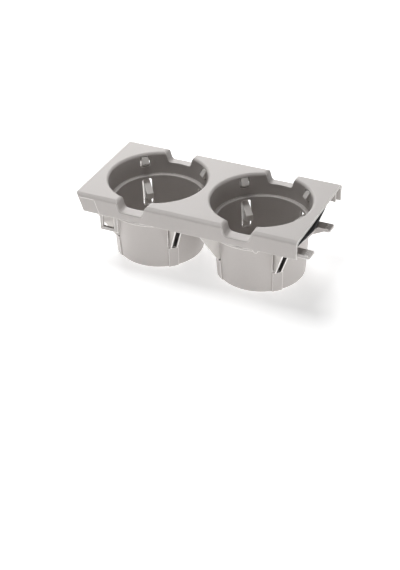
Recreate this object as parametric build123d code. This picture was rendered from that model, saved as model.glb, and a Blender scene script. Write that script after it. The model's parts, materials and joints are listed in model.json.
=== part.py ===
from build123d import *
import os
from math import acos, cos, degrees, radians, sin

os.makedirs("parts", exist_ok=True)

# Sizes of the cups, in millimetres
collar_bore_radius = 42.6       # upper bore, just below the rounded rim
ledge_inset = 0.8               # how much smaller the upper bore is at the ledge
collar_wall = 1.6
rim_radius = 2.5                # rounding from the deck into the bore
ledge_depth = 20.2              # deck top to the ledge
ledge_width = 3.3               # ledge between the upper bore and the well's mouth
mouth_rounding = 0.6
well_height = 47.8              # ledge to the base the unit stands on
well_wall = 2.2
base_inset = 3.0                # how much the well narrows from mouth to base
well_floor = 2.5
floor_fillet = 3.0
base_rounding = 1.5
flange_thickness = 2.0
flange_lip = 2.2                # flange standing out past the collar

# Sizes of the rubber bands
band_thickness = 3.2
band_slack = 0.15               # between band and collar
band_room = 0.45                # between a band and its neighbours
band_seat_gap = 0.3             # between band and arms
band_bend_radius = 6.0          # bend over an arm
band_above_ledge = 2.2          # ledge up to the band's centre line

# Sizes of the deck
deck_thickness = 2.2
end_margin = 7.05               # deck past the rim at each end
cup_setback = 1.2               # cup axes behind the deck's middle line
skirt_height = 16.0
skirt_wall = 1.8
skirt_foot_rounding = 0.5
shoulder_width = 3.9
shoulder_drop = 1.6
shoulder_rounding = 2.0
end_corner_radius = 4.0
end_corner_proud = 0.1          # rounded ends reach past the skirts, so they meet at an edge
end_undercut = 5.5              # lean of the skirts' edge at the far end
panel_width = 17.0
panel_recess = 0.5
panel_drop = 3.0                # deck top to the panel's upper edge

# Sizes of the U-shaped notches at the front and back of each cup
notch_width = 21.0
notch_depth = 9.5
notch_flare = 2.6               # how much each side leans out at the deck
notch_rounding = 3.4
notch_bevel = 0.9               # on the outer faces of the skirts

# Sizes of the swing arms
station_angle = 47.0            # arms stand at this angle from the length, four to a cup
arm_width = 6.2
arm_wall = 1.2
arm_swing = 16.0                # degrees, outward
stop_gap = 0.35                 # arm to collar, where the arm comes to rest
axle_radius = 1.3
axle_clearance = 0.05
boss_radius = 2.6
pivot_drop = 5.5                # deck top to the hinge axis
tab_reach = 3.6                 # upper tab inside the bore
tab_drop = 3.0                  # hinge axis to the tab's nose
tab_height = 5.4                # tab's slanted face
tab_foot = 1.5                  # height of the tab's nose
tab_root = 0.5                  # slope of the tab's foot, back to the arm
tongue_reach = 9.6              # lower tongue inside the well's mouth
tongue_drop = 12.5              # ledge to the tongue's nose
tongue_rise = 8.0               # slanted face, upward
tongue_run = 14.0               # slanted face, outward
tongue_foot = 5.4               # height of the tongue's nose
tongue_undercut = 0.4
tongue_rounding = 0.8
arm_end_drop = 27.4             # ledge to the arm's lower end
arm_end_height = 6.6
arm_end_depth = 4.0
arm_end_proud = 1.0             # arm's foot past the raised strip below it
arm_edge_rounding = 0.5         # sides of the tab and the tongue
arm_back_reach = 13.4           # collar to the arm's back, where the band sits
arm_back_rise = 2.6             # straight back above and below the band
band_seat_depth = 1.3
flange_gap = 0.8                # arm to the flange it passes
window_gap = 1.4                # each side of an arm in its windows
window_headroom = 0.6
window_footroom = 0.6
pad_height = 1.2                # raised strip below each lower window

# Sizes of the bearing lugs
lug_thickness = 1.6
lug_gap = 0.35                  # arm to lug
lug_margin = 1.8                # material round the axle

# Sizes of the loop, the end tongues and the small tabs
loop_width = 16.6
loop_drop = 14.4                # below the skirt
loop_thickness = 1.7
loop_left_post = 2.5
loop_right_post = 3.4
loop_bar = 3.0
loop_offset = 21.6              # left cup axis to the loop's middle
plate_thickness = 1.8
plate_width = 11.2
plate_rim = 1.0                 # rib along the front edge
plate_corner = 1.5
front_plate_reach = 10.2        # past the end of the deck
front_plate_drop = 12.3         # deck top to the front tongue
front_plate_root = 7.0          # under the deck
middle_plate_reach = 6.6        # past the end of the deck
middle_plate_offset = 10.8      # right cup axis to the middle tongue's middle
pip_radius = 0.8
pip_height = 0.4
pip_inset = 4.5                 # end of a tongue to its pips
gusset_reach = 7.5              # under the middle tongue, past the flange
gusset_height = 8.0
gusset_thickness = 1.4
corner_tab_width = 6.0
corner_tab_thickness = 1.5
corner_tab_inset = 3.0          # from the deck's end
corner_tab_gap = 2.7            # from the back skirt
lip_radius = 2.4                # half-round lug on the front skirt
lip_offset = 16.8               # right cup axis to the lug

# Places that follow from the sizes
deck_top = well_height + ledge_depth
ledge_z = well_height
deck_under = deck_top - deck_thickness
skirt_foot = deck_top - skirt_height
rim_edge_radius = collar_bore_radius + rim_radius
collar_outer = collar_bore_radius + collar_wall
collar_foot_bore = collar_bore_radius - ledge_inset
mouth_radius = collar_foot_bore - ledge_width
flange_outer = collar_outer + flange_lip
band_radius = band_thickness / 2
band_centre_radius = collar_outer + band_slack + band_radius
band_outer = band_centre_radius + band_radius
band_z = ledge_z + band_above_ledge
cup_spacing = 2 * band_outer + band_room
deck_length = cup_spacing + 2 * (rim_edge_radius + end_margin)
deck_width = 2 * (cup_setback + band_outer + band_room + skirt_wall)
skirt_inner = deck_width / 2 - skirt_wall
# The front tongue stands past the deck, so the deck is set back to centre the whole unit
deck_x = -front_plate_reach / 2
cup_x = [deck_x - cup_spacing / 2, deck_x + cup_spacing / 2]
cup_y = cup_setback
deck_end = deck_x + deck_length / 2
pivot_radius = collar_outer + stop_gap + boss_radius
pivot_z = deck_top - pivot_drop
arm_face = collar_outer + stop_gap
tab_nose_radius = collar_bore_radius - tab_reach
tab_nose_z = pivot_z - tab_drop
tab_top_z = tab_nose_z + tab_height
nose_radius = mouth_radius - tongue_reach
nose_z = ledge_z - tongue_drop
arm_foot_z = ledge_z - arm_end_drop
arm_back_radius = collar_outer + arm_back_reach
band_arm_radius = arm_back_radius - band_seat_depth + band_seat_gap + band_radius
flange_under = ledge_z - flange_thickness
STATIONS = [station_angle, 180 - station_angle, 180 + station_angle, 360 - station_angle]
CUPS = {"left": cup_x[0], "right": cup_x[1]}
far = 2 * deck_length           # past everything, for cutting tools


def well_radius(z):
    """Inner radius of a well at height z."""
    return mouth_radius - base_inset * (ledge_z - z) / well_height


def swung_height(radius, z):
    """Height of a point of an arm once the arm is swung right out."""
    turn = radians(arm_swing)
    return pivot_z + (radius - pivot_radius) * sin(turn) + (z - pivot_z) * cos(turn)


# Places that follow from the arms
arm_end_radius = well_radius(arm_foot_z) + well_wall + pad_height + arm_end_proud
tab_foot_z = tab_nose_z - tab_foot
collar_window = (swung_height(tab_nose_radius, tab_foot_z) - window_footroom,
                 tab_top_z + window_headroom)
well_window = (arm_foot_z - window_footroom, flange_under - window_headroom)
window_width = arm_width + 2 * window_gap


def block(x0, x1, y0, y1, z0, z1):
    """Box between two opposite corners."""
    return Pos((x0 + x1) / 2, (y0 + y1) / 2, (z0 + z1) / 2) * Box(x1 - x0, y1 - y0, z1 - z0)


def drum(radius, z0, z1):
    """Upright cylinder about the Z axis between two heights."""
    return Pos(0, 0, z0) * Cylinder(radius, z1 - z0, align=(Align.CENTER, Align.CENTER, Align.MIN))


def cone(radius0, radius1, z0, z1):
    """Upright cone frustum about the Z axis between two heights."""
    return Pos(0, 0, z0) * Cone(radius0, radius1, z1 - z0,
                                align=(Align.CENTER, Align.CENTER, Align.MIN))


def polar(radius, angle):
    """Point in plan at a distance and an angle from a cup's axis."""
    return Vector(radius * cos(radians(angle)), radius * sin(radians(angle)))


def at_cup(x, shape):
    """Move a shape from the Z axis to the axis of the cup at x."""
    return Pos(x, cup_y, 0) * shape


def at_station(angle, shape):
    """Turn a shape from the X axis to a station of the arms."""
    return Rot(0, 0, angle) * shape


def tangent_pin(radius, length):
    """Cylinder along a station's hinge axis."""
    return Pos(pivot_radius, 0, pivot_z) * Rot(90, 0, 0) * Cylinder(radius, length)


# Deck and skirts
def deck_block(inset, drop, foot, overrun):
    """Deck with both skirts as one solid block, its walls moved in by inset."""
    half = deck_width / 2 - inset
    top = deck_top - drop
    outline = Plane.YZ * Polygon(
        (-half + shoulder_width, top), (half - shoulder_width, top), (half, top - shoulder_drop),
        (half, foot), (-half, foot), (-half, top - shoulder_drop), align=None)
    body = extrude(outline, deck_length / 2 + overrun, both=True)
    creases = body.edges().filter_by(Axis.X).sort_by(Axis.Z)[-4:]
    return Pos(deck_x, 0, 0) * fillet(creases, shoulder_rounding)


def end_trim():
    """Leaning block with rounded corners that shapes the far end of the skirts."""
    plan = Pos(deck_x, 0, 0) * RectangleRounded(deck_length + 2 * end_corner_radius,
                                                deck_width + 2 * end_corner_proud,
                                                end_corner_radius)
    plan = Pos(end_corner_radius, 0, deck_top) * plan
    lean = Vector(end_undercut, 0, -skirt_height)
    return extrude(plan, lean.length, dir=lean)


def notch_outline():
    """U-shaped outline of a notch, measured from the deck's top."""
    half_foot = notch_width / 2
    half_top = half_foot + notch_flare
    outline = Polygon((-half_foot, -notch_depth), (half_foot, -notch_depth), (half_top, 0),
                      (half_top + notch_depth, 0), (half_top + notch_depth, notch_depth),
                      (-half_top - notch_depth, notch_depth), (-half_top - notch_depth, 0),
                      (-half_top, 0), align=None)
    corners = [v for v in outline.vertices() if abs(v.X) < half_top + notch_depth / 2]
    return fillet(corners, notch_rounding)


def notch_prism(clearance):
    """Notches at the front and back of a cup, grown by a clearance."""
    outline = notch_outline()
    if clearance > 0:
        outline = offset(outline, clearance)
    return Pos(0, 0, deck_top) * extrude(Plane.XZ * outline, deck_width, both=True)


def notch_bevels():
    """Bevelled edges of a cup's notches on the outer faces of both skirts."""
    outline = Plane.XZ * offset(notch_outline(), notch_bevel)
    back = Pos(0, deck_width / 2, deck_top) * extrude(outline, notch_bevel, taper=45)
    return back + mirror(back, about=Plane.XZ)


def bore_cutter():
    """Upper bore of a cup with its rounded rim, down to the ledge."""
    profile = Plane.XZ * make_face([
        Line((0, ledge_z), (collar_foot_bore, ledge_z)),
        Line((collar_foot_bore, ledge_z), (collar_bore_radius, deck_top - rim_radius)),
        RadiusArc((collar_bore_radius, deck_top - rim_radius), (rim_edge_radius, deck_top), rim_radius),
        Line((rim_edge_radius, deck_top), (rim_edge_radius, deck_top + rim_radius)),
        Line((rim_edge_radius, deck_top + rim_radius), (0, deck_top + rim_radius)),
        Line((0, deck_top + rim_radius), (0, ledge_z)),
    ])
    return revolve(profile, Axis.Z)


def window(inner, outer, heights):
    """Window for an arm through a wall at a station, with rounded corners."""
    low, high = heights
    sketch = RectangleRounded(window_width, high - low, window_width / 4)
    return Pos(inner, 0, (low + high) / 2) * extrude(Plane.YZ * sketch, outer - inner)


def bearing_lugs():
    """Pair of lugs under the deck that hold an arm's axle."""
    radius = axle_radius + lug_margin
    web = block(collar_outer - collar_wall / 2, pivot_radius + radius, -lug_thickness / 2,
                lug_thickness / 2, pivot_z, deck_under + deck_thickness / 4)
    lug = web + tangent_pin(radius, lug_thickness)
    lug -= tangent_pin(axle_radius + axle_clearance, far)
    offset_y = arm_width / 2 + lug_gap + lug_thickness / 2
    return Pos(0, offset_y, 0) * lug + Pos(0, -offset_y, 0) * lug


def loop_clip():
    """Rectangular loop that hangs inside the front skirt."""
    x0 = cup_x[0] - loop_offset - loop_width / 2
    x1 = x0 + loop_width
    foot = skirt_foot - loop_drop
    y0 = -skirt_inner - skirt_wall / 2
    frame = block(x0, x1, y0, -skirt_inner + loop_thickness, foot, deck_under)
    hole = block(x0 + loop_left_post, x1 - loop_right_post, y0 - loop_thickness, cup_y,
                 foot + loop_bar, skirt_foot + loop_bar)
    return frame - hole


def end_plate(root, reach, y0, top, rim_start):
    """Flat tongue that stands out of the open end, with a rib and small pips."""
    end = deck_end + reach
    plate = block(root, end, y0, y0 + plate_width, top - plate_thickness, top)
    corners = plate.edges().filter_by(Axis.Z).sort_by(Axis.X)[-2:]
    plate = fillet(corners, plate_corner)
    plate += block(rim_start, end - plate_corner, y0, y0 + plate_rim, top, top + plate_rim)
    for step in (1, 2, 3):
        pip = drum(pip_radius, top - plate_thickness / 2, top + pip_height)
        plate += Pos(end - pip_inset, y0 + plate_width * step / 4, 0) * pip
    return plate


def corner_tab():
    """Small upright tab beside the back skirt at the open end."""
    x1 = deck_end - corner_tab_inset
    y1 = skirt_inner - corner_tab_gap
    return block(x1 - corner_tab_width, x1, y1 - corner_tab_thickness, y1, skirt_foot,
                 deck_top - deck_thickness / 2)


def front_lip():
    """Half-round lug on the foot of the front skirt."""
    disc = Rot(90, 0, 0) * Cylinder(lip_radius, skirt_wall)
    return Pos(cup_x[1] + lip_offset, -skirt_inner - skirt_wall / 2, skirt_foot) * disc


def end_panel():
    """Shallow recess on the front skirt beside the far end, its side leaning with the end."""
    top = deck_top - panel_drop
    lean = end_undercut / skirt_height
    x0 = deck_x - deck_length / 2
    right_top = x0 + panel_width + lean * panel_drop
    right_foot = x0 + panel_width + lean * (skirt_height + panel_drop)
    foot = skirt_foot - panel_drop
    outline = Polygon((x0, top), (right_top, top), (right_foot, foot), (x0, foot), align=None)
    slab = extrude(Plane.XZ * outline, skirt_wall, both=True)
    return Pos(0, panel_recess - deck_width / 2 - skirt_wall, 0) * slab


def make_bezel():
    """Deck, skirts, collars, bearing lugs and the clips moulded with them."""
    body = deck_block(0, 0, skirt_foot, 0) & end_trim()
    body = fillet(body.edges().filter_by(Axis.X).sort_by(Axis.Z)[:2], skirt_foot_rounding)
    hollow = deck_block(skirt_wall, deck_thickness, skirt_foot - deck_thickness, deck_thickness)
    for x in cup_x:
        hollow -= at_cup(x, drum(collar_outer, skirt_foot - 2 * deck_thickness, deck_top))
        hollow -= at_cup(x, notch_prism(deck_thickness))
    body -= hollow
    for x in cup_x:
        body += at_cup(x, drum(collar_outer, ledge_z, deck_under))
        for angle in STATIONS:
            body += at_cup(x, at_station(angle, bearing_lugs()))
    body -= end_panel()
    for x in cup_x:
        body -= at_cup(x, bore_cutter())
        body -= at_cup(x, notch_prism(0))
        body -= Pos(x, 0, 0) * notch_bevels()
        for angle in STATIONS:
            cut = window(tab_nose_radius, arm_face, collar_window)
            body -= at_cup(x, at_station(angle, cut))
    body += loop_clip()
    root = deck_end - front_plate_root
    body += end_plate(root, front_plate_reach, -skirt_inner, deck_top - front_plate_drop, root)
    body += corner_tab()
    body += front_lip()
    return body


def well_shell(extra):
    """Solid outside of a well with its rounded base, grown by an extra radius."""
    radius = mouth_radius + well_wall + extra
    body = cone(radius - base_inset, radius, 0, ledge_z)
    foot = body.edges().filter_by(GeomType.CIRCLE).sort_by(Axis.Z)[0]
    return fillet(foot, base_rounding)


def make_well():
    """Lower cup with its flange, the arms' windows and the raised strips below them."""
    body = well_shell(0)
    strips = well_shell(pad_height)
    column = block(0, flange_outer, -window_width / 2, window_width / 2, 0, well_window[0])
    body += Part() + [strips & at_station(angle, column) for angle in STATIONS]
    body += drum(flange_outer, flange_under, ledge_z)
    inside = cone(well_radius(well_floor), mouth_radius, well_floor, ledge_z)
    rim = inside.edges().filter_by(GeomType.CIRCLE).sort_by(Axis.Z)[0]
    body -= fillet(rim, floor_fillet)
    mouth = body.edges().filter_by(GeomType.CIRCLE).filter_by_position(Axis.Z, ledge_z, ledge_z)
    body = fillet(mouth.sort_by(SortBy.RADIUS)[0], mouth_rounding)
    for angle in STATIONS:
        body -= at_station(angle, window(nose_radius, arm_face, well_window))
    return body


def middle_tongue():
    """Tongue on the right well's flange, with gussets down to the well's wall."""
    root = cup_x[1] + mouth_radius / 2
    y0 = cup_y + middle_plate_offset - plate_width / 2
    under = ledge_z - plate_thickness
    tongue = end_plate(root, middle_plate_reach, y0, ledge_z, cup_x[1] + band_outer + band_room)
    end = cup_x[1] + flange_outer + gusset_reach
    lean = (end - root) * gusset_height / (flange_outer + gusset_reach - mouth_radius)
    side = Plane.XZ * Polygon((root, under), (end, under), (root, under - lean), align=None)
    gusset = extrude(side, gusset_thickness / 2, both=True)
    for y in (y0 + gusset_thickness / 2, y0 + plate_width - gusset_thickness / 2):
        tongue += Pos(0, y, 0) * gusset
    return tongue - at_cup(cup_x[1], drum(mouth_radius + well_wall / 2, 0, 2 * ledge_z))


def band_path():
    """Line of a band: arcs over the arms' backs and on the collar, joined by tangents."""
    bend_centre = band_arm_radius - band_bend_radius
    lean = degrees(acos((band_centre_radius - band_bend_radius) / bend_centre))
    edges = []
    for angle, following in zip(STATIONS, STATIONS[1:] + [STATIONS[0] + 360]):
        before = angle - STATIONS[STATIONS.index(angle) - 1]
        reach = min(lean, (following - angle) / 2)
        back = min(lean, (before % 360) / 2)
        place = polar(bend_centre, angle)
        edges.append(CenterArc(place, band_bend_radius, angle - back, back + reach))
        if lean < (following - angle) / 2:
            edges.append(Line(place + polar(band_bend_radius, angle + lean),
                              polar(band_centre_radius, angle + lean)))
            edges.append(CenterArc((0, 0), band_centre_radius, angle + lean,
                                   following - angle - 2 * lean))
            edges.append(Line(polar(band_centre_radius, following - lean),
                              polar(bend_centre, following) + polar(band_bend_radius, following - lean)))
        else:
            edges.append(Line(place + polar(band_bend_radius, angle + reach),
                              polar(bend_centre, following) + polar(band_bend_radius, following - reach)))
    return Pos(0, 0, band_z) * Wire(edges)


def band_shape(radius):
    """Round band of the given radius, stretched round a collar and the backs of its arms."""
    path = band_path()
    section = Plane(path @ 0, z_dir=path % 0) * Circle(radius)
    return sweep(section, path=path)


def arm_outline():
    """Side view of an arm: radius from the cup axis against height."""
    passing = flange_outer + flange_gap
    points = [
        (pivot_radius, pivot_z + boss_radius), (collar_bore_radius, tab_top_z),
        (tab_nose_radius, tab_nose_z), (tab_nose_radius + tab_root, tab_foot_z),
        (arm_face, tab_foot_z - tab_root), (arm_face, ledge_z + 2 * flange_gap),
        (passing, ledge_z + flange_gap), (passing, flange_under - flange_gap),
        (nose_radius + tongue_run, nose_z + tongue_rise), (nose_radius, nose_z),
        (nose_radius - tongue_undercut, nose_z - tongue_foot),
        (arm_end_radius - arm_end_depth, arm_foot_z + arm_end_height),
        (arm_end_radius - arm_end_depth, arm_foot_z), (arm_end_radius, arm_foot_z),
        (arm_back_radius, band_z - arm_back_rise), (arm_back_radius, band_z + arm_back_rise),
        (pivot_radius + boss_radius, pivot_z),
    ]
    outline = Polygon(*points, align=None)
    inner = outline.vertices().sort_by(Axis.X)[:4]
    return fillet(inner, tongue_rounding / 2)


def side_edges(arm, low, high):
    """Edges along both sides of an arm's inner face between two heights."""
    edges = arm.edges().filter_by_position(Axis.Z, low, high)
    edges = edges.filter_by_position(Axis.X, 0, arm_face + arm_wall)
    return [e for e in edges if abs(e.center().Y) > arm_width / 2 - arm_edge_rounding]


def make_arm():
    """Swing arm of the first station: a channel with a tab, a tongue and an axle."""
    outline = arm_outline()
    inside = Pos(arm_wall, -arm_wall / 2) * outline & outline
    inside &= Pos(pivot_radius, pivot_z - boss_radius - far / 2) * Rectangle(far, far)
    head = Pos(pivot_radius, pivot_z) * Circle(boss_radius)
    arm = extrude(Plane.XZ * (outline + head), arm_width / 2, both=True)
    sides = side_edges(arm, tab_foot_z, pivot_z + boss_radius)
    sides += side_edges(arm, arm_foot_z + arm_end_depth, ledge_z)
    arm = fillet(sides, arm_edge_rounding)
    arm -= extrude(Plane.XZ * inside, arm_width / 2 - arm_wall, both=True)
    arm += tangent_pin(axle_radius, arm_width + 2 * (lug_gap + lug_thickness))
    return at_station(STATIONS[0], arm) - band_shape(band_radius + band_seat_gap)


def four_arms():
    """The arms of one cup, each the mirror image of its neighbours."""
    back_right = make_arm()
    back_left = mirror(back_right, about=Plane.YZ)
    return {
        "back_right": back_right,
        "back_left": back_left,
        "front_left": mirror(back_left, about=Plane.XZ),
        "front_right": mirror(back_right, about=Plane.XZ),
    }


# Write every piece
pieces = {"bezel": make_bezel()}
well = make_well()
band = band_shape(band_radius)
arms = four_arms()
for cup, x in CUPS.items():
    pieces["well_" + cup] = at_cup(x, well)
    pieces["band_" + cup] = at_cup(x, band)
    for corner, arm in arms.items():
        pieces[f"arm_{cup}_{corner}"] = at_cup(x, arm)
pieces["well_right"] += middle_tongue()

for name, piece in pieces.items():
    export_step(piece, f"parts/{name}.step")
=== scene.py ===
"""Looks of a double car cup holder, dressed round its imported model."""
from __future__ import annotations

import json
import logging
import math
from dataclasses import dataclass
from enum import Enum

import bpy
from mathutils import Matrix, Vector

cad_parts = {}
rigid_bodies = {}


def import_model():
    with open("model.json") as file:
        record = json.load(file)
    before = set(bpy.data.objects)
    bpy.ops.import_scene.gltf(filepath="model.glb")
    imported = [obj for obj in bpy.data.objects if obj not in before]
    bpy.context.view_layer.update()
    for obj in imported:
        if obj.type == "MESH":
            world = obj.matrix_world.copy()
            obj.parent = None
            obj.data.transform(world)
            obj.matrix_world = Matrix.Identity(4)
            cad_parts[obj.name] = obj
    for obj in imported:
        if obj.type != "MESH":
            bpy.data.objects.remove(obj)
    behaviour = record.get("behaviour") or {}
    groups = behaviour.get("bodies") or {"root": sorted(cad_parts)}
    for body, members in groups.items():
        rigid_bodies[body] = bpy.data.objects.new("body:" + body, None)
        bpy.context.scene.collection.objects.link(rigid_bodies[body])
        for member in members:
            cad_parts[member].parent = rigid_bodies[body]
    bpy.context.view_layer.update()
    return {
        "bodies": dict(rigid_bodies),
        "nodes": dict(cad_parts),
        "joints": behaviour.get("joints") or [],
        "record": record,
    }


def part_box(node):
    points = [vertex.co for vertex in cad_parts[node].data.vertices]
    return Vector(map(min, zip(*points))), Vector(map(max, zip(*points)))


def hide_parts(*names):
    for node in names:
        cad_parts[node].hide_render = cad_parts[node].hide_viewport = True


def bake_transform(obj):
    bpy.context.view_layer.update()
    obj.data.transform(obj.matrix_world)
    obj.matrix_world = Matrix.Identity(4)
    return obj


log = logging.getLogger("cup_holder")

MM = 0.001
NOISE_MIDDLE = 0.5             # mean of a noise texture

Colour = tuple[float, float, float]
Point = tuple[float, float, float]


class Cup(Enum):
    """The two cups."""

    LEFT = "left"
    RIGHT = "right"


class Corner(Enum):
    """Places of the swing arms round a cup: name and angle from the length, in degrees."""

    BACK_RIGHT = ("back_right", 47.0)
    BACK_LEFT = ("back_left", 133.0)
    FRONT_LEFT = ("front_left", 227.0)
    FRONT_RIGHT = ("front_right", 313.0)

    @property
    def label(self) -> str:
        """Name of the corner."""
        return self.value[0]

    @property
    def angle(self) -> float:
        """Angle of the corner in radians."""
        return math.radians(self.value[1])

    def neighbour(self, side: int) -> Corner:
        """The next corner round the cup.

        Args:
            side: 1 for the next one anticlockwise, -1 for the one before.

        Returns:
            The neighbouring corner.
        """
        order = list(Corner)
        return order[(order.index(self) + side) % len(order)]


def srgb(red: float, green: float, blue: float) -> Colour:
    """Linear colour from a display colour.

    Args:
        red: Red from 0 to 255.
        green: Green from 0 to 255.
        blue: Blue from 0 to 255.

    Returns:
        The same colour in linear light, each part from 0 to 1.
    """
    def one(value: float) -> float:
        """Linear value of one part of the colour."""
        share = value / 255
        return share / 12.92 if share <= 0.04045 else ((share + 0.055) / 1.055) ** 2.4

    return one(red), one(green), one(blue)


class Signal:
    """A number that varies over a surface, with the usual operators."""

    def __init__(self, board: Board, socket: bpy.types.NodeSocket) -> None:
        """Wrap a socket of a node tree."""
        self.board = board
        self.socket = socket

    def _maths(self, operation: str, first: Value, second: Value) -> Signal:
        """Add a Math node for two values.

        Args:
            operation: The node's operation.
            first: Its first value.
            second: Its second value.

        Returns:
            The node's result.
        """
        node = self.board.node("ShaderNodeMath", {"operation": operation}, {0: first, 1: second})
        return Signal(self.board, node.outputs[0])

    def __add__(self, other: Value) -> Signal:
        """Sum."""
        return self._maths("ADD", self, other)

    def __radd__(self, other: Value) -> Signal:
        """Sum, from the right."""
        return self._maths("ADD", other, self)

    def __sub__(self, other: Value) -> Signal:
        """Difference."""
        return self._maths("SUBTRACT", self, other)

    def __rsub__(self, other: Value) -> Signal:
        """Difference, from the right."""
        return self._maths("SUBTRACT", other, self)

    def __mul__(self, other: Value) -> Signal:
        """Product."""
        return self._maths("MULTIPLY", self, other)

    def __rmul__(self, other: Value) -> Signal:
        """Product, from the right."""
        return self._maths("MULTIPLY", other, self)

    def absolute(self) -> Signal:
        """Size without the sign."""
        return self.board.signal("ShaderNodeMath", {"operation": "ABSOLUTE"}, {0: self})

    def ramp(self, low: float, high: float) -> Signal:
        """Rise from 0 at a low value to 1 at a high one."""
        return self.board.signal("ShaderNodeMapRange", {"clamp": True}, {
            "Value": self, "From Min": low, "From Max": high})


Value = float | Signal | Colour | bpy.types.NodeSocket


class Board:
    """A node tree and the one way to add nodes to it."""

    # places of a Mix node's colour sockets
    SHARE, FIRST_COLOUR, SECOND_COLOUR, MIXED_COLOUR = 0, 6, 7, 2

    def __init__(self, tree: bpy.types.NodeTree) -> None:
        """Take a node tree and clear it."""
        self.tree = tree
        self.tree.nodes.clear()

    def node(self, kind: str, settings: dict | None = None,
             inputs: dict[int | str, Value] | None = None) -> bpy.types.Node:
        """Add a node.

        Args:
            kind: The node's type.
            settings: Its properties.
            inputs: Values or links of its sockets, by name or place.

        Returns:
            The new node.
        """
        node = self.tree.nodes.new(kind)
        for name, value in (settings or {}).items():
            setattr(node, name, value)
        for place, value in (inputs or {}).items():
            socket = node.inputs[place]
            if isinstance(value, Signal):
                self.tree.links.new(value.socket, socket)
            elif isinstance(value, bpy.types.NodeSocket):
                self.tree.links.new(value, socket)
            elif isinstance(value, tuple) and socket.type == "RGBA":
                socket.default_value = (*value, 1.0)
            else:
                socket.default_value = value
        return node

    def signal(self, kind: str, settings: dict | None = None,
               inputs: dict[int | str, Value] | None = None, output: int | str = 0) -> Signal:
        """Add a node and take one of its results.

        Args:
            kind: The node's type.
            settings: Its properties.
            inputs: Values or links of its sockets.
            output: Name or place of the result.

        Returns:
            The result.
        """
        return Signal(self, self.node(kind, settings, inputs).outputs[output])

    def mix(self, share: Value, first: Value, second: Value) -> bpy.types.NodeSocket:
        """Mix two colours.

        Args:
            share: How much of the second colour there is.
            first: First colour.
            second: Second colour.

        Returns:
            The mixed colour's socket.
        """
        node = self.node("ShaderNodeMix", {"data_type": "RGBA"}, {
            self.SHARE: share, self.FIRST_COLOUR: first, self.SECOND_COLOUR: second})
        return node.outputs[self.MIXED_COLOUR]


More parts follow.
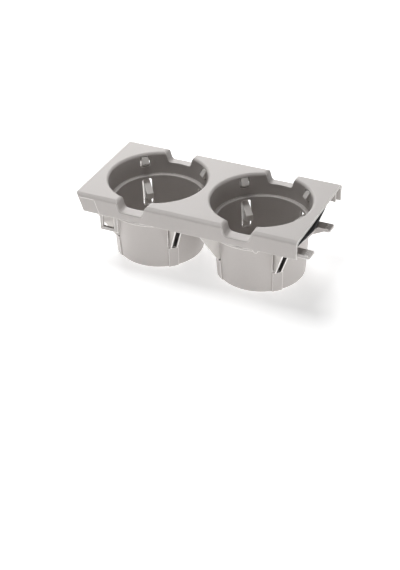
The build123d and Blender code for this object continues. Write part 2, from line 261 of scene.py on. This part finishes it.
@dataclass(frozen=True)
class Plastic:
    """Moulded plastic with a fine spark-eroded grain."""

    name: str
    colour: Colour
    shade: float = 0.94                     # darker tone of the clouding beside the colour
    shade_from: float = 0.35                # noise that gives the darker tone in full
    shade_to: float = 0.65                  # and noise that gives none of it
    speck_share: float = 0.25               # of small specks in the clouding
    roughness: float = 0.5
    roughness_range: float = 0.1
    shine: float = 0.4
    grain_size: float = 0.45 * MM
    grain_depth: float = 0.02 * MM
    grain_softness: float = 0.6
    grain_share: float = 0.6                # of the grain in the bumps' height
    pit_share: float = 0.9                  # and of the pits
    pit_size: float = 2.2                   # in grain sizes, as the specks' size is
    speck_size: float = 4.0
    edge_rounding: float = 0.3 * MM         # radius that the edges seem to have
    rounding_samples: int = 6
    edge_highlight_colour: Colour = srgb(246, 243, 240)    # painted highlight along the convex moulded edges, in place of their shine
    edge_highlight_width: float = 0.75 * MM
    edge_highlight_share: float = 0.95
    edge_highlight_from: float = 0.05                 # missing share of the solid where the painted highlight begins
    edge_highlight_to: float = 0.4                    # and where it is full
    edge_samples: int = 8
    cloud_size: float = 45 * MM
    cloud_roughness: float = 0.55
    streak: Point = (1.0, 1.0, 0.25)

    def tint(self, board: Board, place: bpy.types.NodeSocket,
             colour: bpy.types.NodeSocket) -> bpy.types.NodeSocket:
        """Colour at a place of the piece.

        Args:
            board: The material's node tree.
            place: The place, in the frame of the model.
            colour: Clouded colour of the plastic.

        Returns:
            The colour to use.
        """
        return colour

    def clouding(self, board: Board, place: bpy.types.NodeSocket) -> tuple[Signal, Signal]:
        """Large soft clouds and small specks.

        Args:
            board: The material's node tree.
            place: The place, in the frame of the model.

        Returns:
            The clouds and the specks.
        """
        stretched = board.node("ShaderNodeMapping", {}, {"Vector": place, "Scale": self.streak})
        clouds = board.signal("ShaderNodeTexNoise", {}, {
            "Vector": stretched.outputs[0], "Scale": 1 / self.cloud_size, "Detail": 3.0,
            "Roughness": self.cloud_roughness})
        specks = board.signal("ShaderNodeTexNoise", {}, {
            "Vector": place, "Scale": 1 / (self.speck_size * self.grain_size), "Detail": 2.0})
        return clouds, specks

    def surface(self, board: Board, place: bpy.types.NodeSocket) -> bpy.types.NodeSocket:
        """Fine grain with pits, over rounded edges.

        Args:
            board: The material's node tree.
            place: The place, in the frame of the model.

        Returns:
            The surface's normal.
        """
        grain = board.signal("ShaderNodeTexVoronoi", {"feature": "SMOOTH_F1"}, {
            "Vector": place, "Scale": 1 / self.grain_size, "Smoothness": self.grain_softness})
        pits = board.signal("ShaderNodeTexNoise", {}, {
            "Vector": place, "Scale": 1 / (self.pit_size * self.grain_size), "Detail": 4.0,
            "Roughness": 0.6})
        rounded = board.node("ShaderNodeBevel", {"samples": self.rounding_samples}, {
            "Radius": self.edge_rounding})
        bump = board.node("ShaderNodeBump", {}, {
            "Strength": 1.0, "Distance": self.grain_depth,
            "Height": grain * self.grain_share + pits * self.pit_share,
            "Normal": rounded.outputs[0]})
        return bump.outputs[0]

    def edges(self, board: Board) -> Signal:
        """Share of the painted highlight along convex edges, from how much of the solid is
        missing near by.
        """
        solid = board.signal("ShaderNodeAmbientOcclusion", {
            "samples": self.edge_samples, "inside": True, "only_local": True}, {
            "Distance": self.edge_highlight_width}, "AO")
        return (1 - solid).ramp(self.edge_highlight_from, self.edge_highlight_to) * self.edge_highlight_share

    def material(self) -> bpy.types.Material:
        """Build the material.

        Returns:
            The material.
        """
        material = bpy.data.materials.new(self.name)
        material.use_nodes = True
        board = Board(material.node_tree)
        place = board.node("ShaderNodeTexCoord").outputs["Object"]
        clouds, specks = self.clouding(board, place)
        tone = clouds * (1 - self.speck_share) + specks * self.speck_share
        dark = tuple(part * self.shade for part in self.colour)
        colour = board.mix(tone.ramp(self.shade_from, self.shade_to), dark, self.colour)
        # painted highlight: a lighter colour along the convex edges stands in for the shine of
        # their rounding
        colour = board.mix(self.edges(board), colour, self.edge_highlight_colour)
        rough = (clouds - NOISE_MIDDLE) * self.roughness_range
        rough = rough + (specks - NOISE_MIDDLE) * self.roughness_range + self.roughness
        shader = board.node("ShaderNodeBsdfPrincipled", {}, {
            "Base Color": self.tint(board, place, colour), "Roughness": rough,
            "Normal": self.surface(board, place), "Specular IOR Level": self.shine})
        board.node("ShaderNodeOutputMaterial", {}, {"Surface": shader.outputs[0]})
        return material


@dataclass(frozen=True)
class ChannelPlastic(Plastic):
    """Plastic of the swing arms, nearly black inside their channels."""

    axis: Point = (0.0, 0.0, 0.0)       # a point of the cup's axis
    inside: Colour = srgb(52, 50, 48)
    half_inside: float = 1.9 * MM       # half the width between an arm's side walls
    blend: float = 0.1 * MM
    front_depth: float = 0.5 * MM       # how far into the front wall the dark part begins
    foot_radius: float = 37.18 * MM     # front of the arm's foot, from the cup's axis
    front: tuple[tuple[float, float, float], ...] = (
        (27.0 * MM, 29.9 * MM, -8.68 * MM),    # from height, to height, change of radius
        (29.9 * MM, 35.3 * MM, 0.4 * MM),
        (35.3 * MM, 43.3 * MM, 14.0 * MM),
        (43.3 * MM, 45.0 * MM, 4.3 * MM),
    )

    def tint(self, board: Board, place: bpy.types.NodeSocket,
             colour: bpy.types.NodeSocket) -> bpy.types.NodeSocket:
        """Darken what lies between the side walls and behind the front wall.

        Args:
            board: The material's node tree.
            place: The place, in the frame of the model.
            colour: Clouded colour of the plastic.

        Returns:
            The colour to use.
        """
        part = board.node("ShaderNodeSeparateXYZ", {}, {"Vector": place}).outputs
        length = (Signal(board, part["X"]) - self.axis[0]).absolute()
        width = (Signal(board, part["Y"]) - self.axis[1]).absolute()
        angle = Corner.BACK_RIGHT.angle
        radius = length * math.cos(angle) + width * math.sin(angle)
        aside = (width * math.cos(angle) - length * math.sin(angle)).absolute()
        front: Signal | float = self.foot_radius + self.front_depth
        for low, high, change in self.front:
            front = Signal(board, part["Z"]).ramp(low, high) * change + front
        between = 1 - aside.ramp(self.half_inside + self.blend / 2,
                                 self.half_inside + 1.5 * self.blend)
        behind = (radius - front).ramp(0.0, self.blend)
        return board.mix(between * behind, colour, self.inside)


@dataclass(frozen=True)
class Rubber:
    """Black moulded rubber with a soft bloom."""

    name: str
    colour: Colour
    bloom: Colour
    roughness: float = 0.5
    bloom_roughness: float = 0.15      # added where the bloom lies
    bloom_size: float = 5 * MM
    bloom_from: float = 0.45           # part of the noise that the bloom spreads over
    bloom_to: float = 0.7
    pore_size: float = 0.35 * MM
    pore_depth: float = 0.012 * MM
    shine: float = 0.25

    def material(self) -> bpy.types.Material:
        """Build the material.

        Returns:
            The material.
        """
        material = bpy.data.materials.new(self.name)
        material.use_nodes = True
        board = Board(material.node_tree)
        place = board.node("ShaderNodeTexCoord").outputs["Object"]
        bloom = board.signal("ShaderNodeTexNoise", {}, {
            "Vector": place, "Scale": 1 / self.bloom_size, "Detail": 4.0, "Roughness": 0.6})
        pores = board.signal("ShaderNodeTexNoise", {}, {
            "Vector": place, "Scale": 1 / self.pore_size, "Detail": 3.0})
        cover = bloom.ramp(self.bloom_from, self.bloom_to)
        colour = board.mix(cover, self.colour, self.bloom)
        bump = board.node("ShaderNodeBump", {}, {
            "Strength": 1.0, "Distance": self.pore_depth, "Height": pores})
        shader = board.node("ShaderNodeBsdfPrincipled", {}, {
            "Base Color": colour, "Roughness": cover * self.bloom_roughness + self.roughness,
            "Normal": bump.outputs[0], "Specular IOR Level": self.shine})
        board.node("ShaderNodeOutputMaterial", {}, {"Surface": shader.outputs[0]})
        return material


def dress(piece: bpy.types.Object, material: bpy.types.Material) -> None:
    """Give every material slot of a piece the same finish.

    Args:
        piece: The piece.
        material: Its finish.
    """
    if not piece.material_slots:
        piece.data.materials.append(material)
    for slot in piece.material_slots:
        slot.material = material


@dataclass
class Housing:
    """Bezel and the two wells, moulded in the same plastic."""

    colour: Colour = srgb(184, 179, 176)
    bezel_rounding: float = 0.8 * MM
    well_rounding: float = 0.5 * MM

    def build(self, frame: dict) -> list[bpy.types.Object]:
        """Dress the housing's nodes.

        Args:
            frame: The loaded frame.

        Returns:
            The dressed pieces.
        """
        nodes = frame["nodes"]
        bezel = Plastic("bezel grain", self.colour, edge_rounding=self.bezel_rounding).material()
        well = Plastic("well grain", self.colour, edge_rounding=self.well_rounding).material()
        dress(nodes["bezel"], bezel)
        wells = [nodes[f"well_{cup.value}"] for cup in Cup]
        for piece in wells:
            dress(piece, well)
        return [nodes["bezel"], *wells]


def arm_name(cup: Cup, corner: Corner) -> str:
    """Name of an arm's node and body."""
    return f"arm_{cup.value}_{corner.label}"


def band_name(cup: Cup) -> str:
    """Name of the node that a cup's band stands for."""
    return f"band_{cup.value}"


def cup_middle(cup: Cup) -> Vector:
    """Middle of a cup's band, on the cup's axis."""
    low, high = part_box(band_name(cup))
    return (low + high) / 2


def new_piece(name: str, mesh: bpy.types.Mesh) -> bpy.types.Object:
    """Put a mesh in the scene as a piece at the origin.

    Args:
        name: Name of the piece.
        mesh: Its mesh.

    Returns:
        The piece.
    """
    piece = bpy.data.objects.new(name, mesh)
    bpy.context.scene.collection.objects.link(piece)
    return piece


def plain_mesh(piece: bpy.types.Object) -> bpy.types.Object:
    """Turn a piece with modifiers into a plain mesh.

    Args:
        piece: The piece.

    Returns:
        The same piece, its modifiers applied and removed.
    """
    graph = bpy.context.evaluated_depsgraph_get()
    made = bpy.data.meshes.new_from_object(piece.evaluated_get(graph), depsgraph=graph)
    made.name = piece.name
    piece.modifiers.clear()
    piece.data = made
    return piece


class NodeTool:
    """A Geometry Nodes tree with named inputs, used as a modifier."""

    def __init__(self, name: str, inputs: dict[str, str]) -> None:
        """Make the tree and its interface.

        Args:
            name: Name of the tree.
            inputs: Kind of socket for each input's name.
        """
        self.tree = bpy.data.node_groups.new(name, "GeometryNodeTree")
        self.tree.is_modifier = True
        self.board = Board(self.tree)
        face = self.tree.interface
        face.new_socket("Geometry", in_out="INPUT", socket_type="NodeSocketGeometry")
        made = {label: face.new_socket(label, in_out="INPUT", socket_type="NodeSocket" + kind)
                for label, kind in inputs.items()}
        face.new_socket("Geometry", in_out="OUTPUT", socket_type="NodeSocketGeometry")
        self.identifiers = {label: socket.identifier for label, socket in made.items()}
        self.given = self.board.node("NodeGroupInput").outputs

    def finish(self, shape: bpy.types.NodeSocket) -> None:
        """End the tree: smooth shading, real geometry and the finish.

        Args:
            shape: The shape that the tree has made.
        """
        board = self.board
        smooth = board.node("GeometryNodeSetShadeSmooth", {}, {"Geometry": shape})
        real = board.node("GeometryNodeRealizeInstances", {}, {"Geometry": smooth.outputs[0]})
        dressed = board.node("GeometryNodeSetMaterial", {}, {
            "Geometry": real.outputs[0], "Material": self.given["Finish"]})
        board.node("NodeGroupOutput", {}, {"Geometry": dressed.outputs[0]})

    def apply(self, piece: bpy.types.Object, values: dict[str, Value]) -> bpy.types.Object:
        """Run the tree on a piece and keep the plain mesh.

        Args:
            piece: The piece.
            values: Value of each input, by its name.

        Returns:
            The same piece.
        """
        modifier = piece.modifiers.new(self.tree.name, "NODES")
        modifier.node_group = self.tree
        for label, value in values.items():
            modifier[self.identifiers[label]] = value
        return plain_mesh(piece)


@dataclass
class SwingArms:
    """The four arms of one cup."""

    cup: Cup
    colour: Colour = srgb(204, 200, 196)
    roughness: float = 0.42
    grain_depth: float = 0.008 * MM
    cloud_size: float = 18 * MM

    def build(self, frame: dict) -> list[bpy.types.Object]:
        """Dress the arms' nodes.

        Args:
            frame: The loaded frame.

        Returns:
            The dressed pieces.
        """
        material = ChannelPlastic(
            f"arm plastic {self.cup.value}", self.colour, roughness=self.roughness,
            grain_depth=self.grain_depth, cloud_size=self.cloud_size,
            axis=tuple(cup_middle(self.cup))).material()
        pieces = [frame["nodes"][arm_name(self.cup, corner)] for corner in Corner]
        for piece in pieces:
            dress(piece, material)
        return pieces


class TubeTool(NodeTool):
    """Round tube along an object's own line."""

    def __init__(self) -> None:
        """Build the tree."""
        super().__init__("swept tube", {
            "Section Radius": "Float", "Section Sides": "Int", "Finish": "Material"})
        board, given = self.board, self.given
        line = board.node("GeometryNodeMeshToCurve", {}, {"Mesh": given["Geometry"]})
        upright = board.node("GeometryNodeSetCurveNormal", {"mode": "Z_UP"},
                             {"Curve": line.outputs[0]})
        section = board.node("GeometryNodeCurvePrimitiveCircle", {"mode": "RADIUS"}, {
            "Resolution": given["Section Sides"], "Radius": given["Section Radius"]})
        tube = board.node("GeometryNodeCurveToMesh", {}, {
            "Curve": upright.outputs[0], "Profile Curve": section.outputs[0], "Fill Caps": True})
        self.finish(tube.outputs[0])


@dataclass
class RubberBand:
    """Round rubber band of one cup, stretched over the backs of its four arms.

    It is eight pieces, so that each follows its arm at one end and the collar at the other.
    """

    cup: Cup
    tool: TubeTool
    finish: bpy.types.Material
    section_radius: float = 1.6 * MM
    section_sides: int = 24
    collar_line: float = 45.95 * MM     # radius of the band's centre line on the collar
    arm_line: float = 58.2 * MM         # and over the arms' backs
    bend: float = 6.0 * MM              # radius of its bend over an arm
    bend_steps: int = 20
    straight_steps: int = 14
    collar_steps: int = 8

    def polar(self, middle: Vector, radius: float, angle: float) -> Vector:
        """Point at the band's height, at a distance and an angle from a middle."""
        return middle + radius * Vector((math.cos(angle), math.sin(angle), 0.0))

    def half_line(self, corner: Corner, side: int) -> tuple[list[Vector], Vector, Vector]:
        """Centre line from the middle of a gap to the middle of an arm.

        Args:
            corner: The arm.
            side: 1 for the gap after the arm, anticlockwise, and -1 for the one before.

        Returns:
            The points of the line, the point where the band leaves the collar and the point
            where it reaches the arm.
        """
        axis_point = cup_middle(self.cup)
        bend_middle = self.polar(axis_point, self.arm_line - self.bend, corner.angle)
        lean = math.acos((self.collar_line - self.bend) / (self.arm_line - self.bend))
        span = (corner.neighbour(side).angle - corner.angle) * side % math.tau
        leave = corner.angle + side * lean
        middle = corner.angle + side * span / 2
        points = []
        for step in range(self.collar_steps):
            share = step / self.collar_steps
            points.append(self.polar(axis_point, self.collar_line,
                                     middle + share * (leave - middle)))
        collar_end = self.polar(axis_point, self.collar_line, leave)
        arm_end = self.polar(bend_middle, self.bend, leave)
        for step in range(self.straight_steps):
            points.append(collar_end.lerp(arm_end, step / self.straight_steps))
        for step in range(self.bend_steps + 1):
            share = step / self.bend_steps
            points.append(self.polar(bend_middle, self.bend,
                                     leave + share * (corner.angle - leave)))
        return points, collar_end, arm_end

    def build(self) -> list[bpy.types.Object]:
        """Make the band, one piece for each half gap.

        Returns:
            The pieces.
        """
        pieces = []
        for corner in Corner:
            for side, label in ((1, "after"), (-1, "before")):
                points, collar_end, arm_end = self.half_line(corner, side)
                name = f"{band_name(self.cup)}_{corner.label}_{label}"
                line = bpy.data.meshes.new(name)
                line.from_pydata(points, [(i, i + 1) for i in range(len(points) - 1)], [])
                piece = self.tool.apply(new_piece(name, line), {
                    "Section Radius": self.section_radius, "Section Sides": self.section_sides,
                    "Finish": self.finish})
                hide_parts(band_name(self.cup))
                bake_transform(piece)
                pieces.append(piece)
        return pieces


@dataclass(frozen=True)
class ViewPoint:
    """Camera at the viewing angle of the photograph."""

    place: Point = (0.40997, -0.86676, 0.62475)
    turn: Point = (55.71797, 1.35411, 25.22491)
    lens: float = 83.451
    sensor: float = 36.0

    def build(self) -> None:
        """Make the camera and use it."""
        data = bpy.data.cameras.new("camera")
        data.lens = self.lens
        data.sensor_width = self.sensor
        camera = bpy.data.objects.new("camera", data)
        camera.location = self.place
        camera.rotation_euler = [math.radians(angle) for angle in self.turn]
        bpy.context.scene.collection.objects.link(camera)
        bpy.context.scene.camera = camera


@dataclass(frozen=True)
class Softbox:
    """Large soft lamp that faces a point."""

    name: str
    place: Point
    target: Point
    width: float
    height: float
    power: float

    def build(self) -> None:
        """Make the lamp."""
        data = bpy.data.lights.new(self.name, "AREA")
        data.shape = "RECTANGLE"
        data.size = self.width
        data.size_y = self.height
        data.energy = self.power
        lamp = bpy.data.objects.new(self.name, data)
        lamp.location = self.place
        direction = Vector(self.target) - Vector(self.place)
        lamp.rotation_euler = direction.to_track_quat("-Z", "Y").to_euler()
        bpy.context.scene.collection.objects.link(lamp)


@dataclass
class Studio:
    """Plain pale floor, white surroundings and soft light."""

    floor_half: float = 3.0
    floor_drop: float = 0.1 * MM
    floor_colour: Colour = (0.9, 0.9, 0.9)
    floor_light: float = 0.85           # light that the floor gives off
    floor_seen: float = 0.55            # and its level where the camera sees it near by
    floor_near: float = 0.3             # from here out it turns white for the camera
    floor_far: float = 1.0
    ambient: float = 0.06
    lamps: tuple[Softbox, ...] = (
        Softbox("overhead", place=(-0.12, 0.0, 0.7), target=(-0.05, 0.0, 0.0),
                width=0.3, height=0.3, power=2.5),
        Softbox("back top", place=(-0.45, 0.75, 0.65), target=(-0.05, 0.0, 0.03),
                width=0.7, height=0.3, power=6.6),
        Softbox("front right", place=(1.1, -1.5, 0.08), target=(0.0, 0.0, 0.03),
                width=1.0, height=0.16, power=7.0),
        Softbox("left", place=(-1.8, -0.2, 0.08), target=(0.0, 0.0, 0.03),
                width=1.0, height=0.16, power=14.0),
        Softbox("right", place=(1.8, -0.2, 0.08), target=(0.0, 0.0, 0.03),
                width=1.0, height=0.16, power=5.0),
    )

    def floor(self) -> None:
        """Make the floor as one large face under the object."""
        half, height = self.floor_half, -self.floor_drop
        mesh = bpy.data.meshes.new("floor")
        mesh.from_pydata([(-half, -half, height), (half, -half, height), (half, half, height),
                          (-half, half, height)], [], [(0, 1, 2, 3)])
        floor = bpy.data.objects.new("floor", mesh)
        bpy.context.scene.collection.objects.link(floor)
        material = bpy.data.materials.new("floor")
        material.use_nodes = True
        board = Board(material.node_tree)
        shader = board.node("ShaderNodeBsdfDiffuse", {}, {"Color": self.floor_colour})
        ray = board.node("ShaderNodeLightPath")
        seen = Signal(board, ray.outputs["Is Camera Ray"])
        place = board.node("ShaderNodeTexCoord").outputs["Object"]
        away = board.signal("ShaderNodeVectorMath", {"operation": "LENGTH"}, {0: place}, "Value")
        white = away.ramp(self.floor_near, self.floor_far) * (1.0 - self.floor_seen)
        level = seen * (white + (self.floor_seen - self.floor_light)) + self.floor_light
        glow = board.node("ShaderNodeEmission", {}, {"Strength": level})
        both = board.node("ShaderNodeAddShader", {}, {0: shader.outputs[0], 1: glow.outputs[0]})
        board.node("ShaderNodeOutputMaterial", {}, {"Surface": both.outputs[0]})
        floor.data.materials.append(material)

    def surroundings(self) -> None:
        """White where the camera and reflections see them, dimmer as a light."""
        world = bpy.data.worlds.new("surroundings")
        world.use_nodes = True
        bpy.context.scene.world = world
        board = Board(world.node_tree)
        ray = board.node("ShaderNodeLightPath")
        seen = Signal(board, ray.outputs["Is Camera Ray"])
        seen = seen + ray.outputs["Is Glossy Ray"]
        seen = seen + ray.outputs["Is Transmission Ray"]
        level = board.signal("ShaderNodeMapRange", {"clamp": True}, {
            "Value": seen, "From Min": 0.0, "From Max": 1.0, "To Min": self.ambient,
            "To Max": 1.0})
        sky = board.node("ShaderNodeBackground", {}, {
            "Color": (1.0, 1.0, 1.0), "Strength": level})
        board.node("ShaderNodeOutputWorld", {}, {"Surface": sky.outputs[0]})

    def build(self) -> None:
        """Make the floor, the surroundings and the lamps."""
        bpy.context.scene.view_settings.view_transform = "Standard"
        self.floor()
        self.surroundings()
        for lamp in self.lamps:
            lamp.build()


def main() -> None:
    """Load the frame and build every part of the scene."""
    logging.basicConfig(level=logging.INFO, format="%(message)s")
    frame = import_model()
    ViewPoint().build()
    Studio().build()
    for piece in Housing().build(frame):
        log.info("housing: %s", piece.name)
    rubber = Rubber("band rubber", colour=srgb(16, 16, 18), bloom=srgb(32, 32, 34)).material()
    tubes = TubeTool()
    for cup in Cup:
        for piece in SwingArms(cup).build(frame):
            log.info("arm: %s", piece.name)
        for piece in RubberBand(cup, tubes, rubber).build():
            log.info("band: %s", piece.name)


if __name__ == "__main__":
    main()
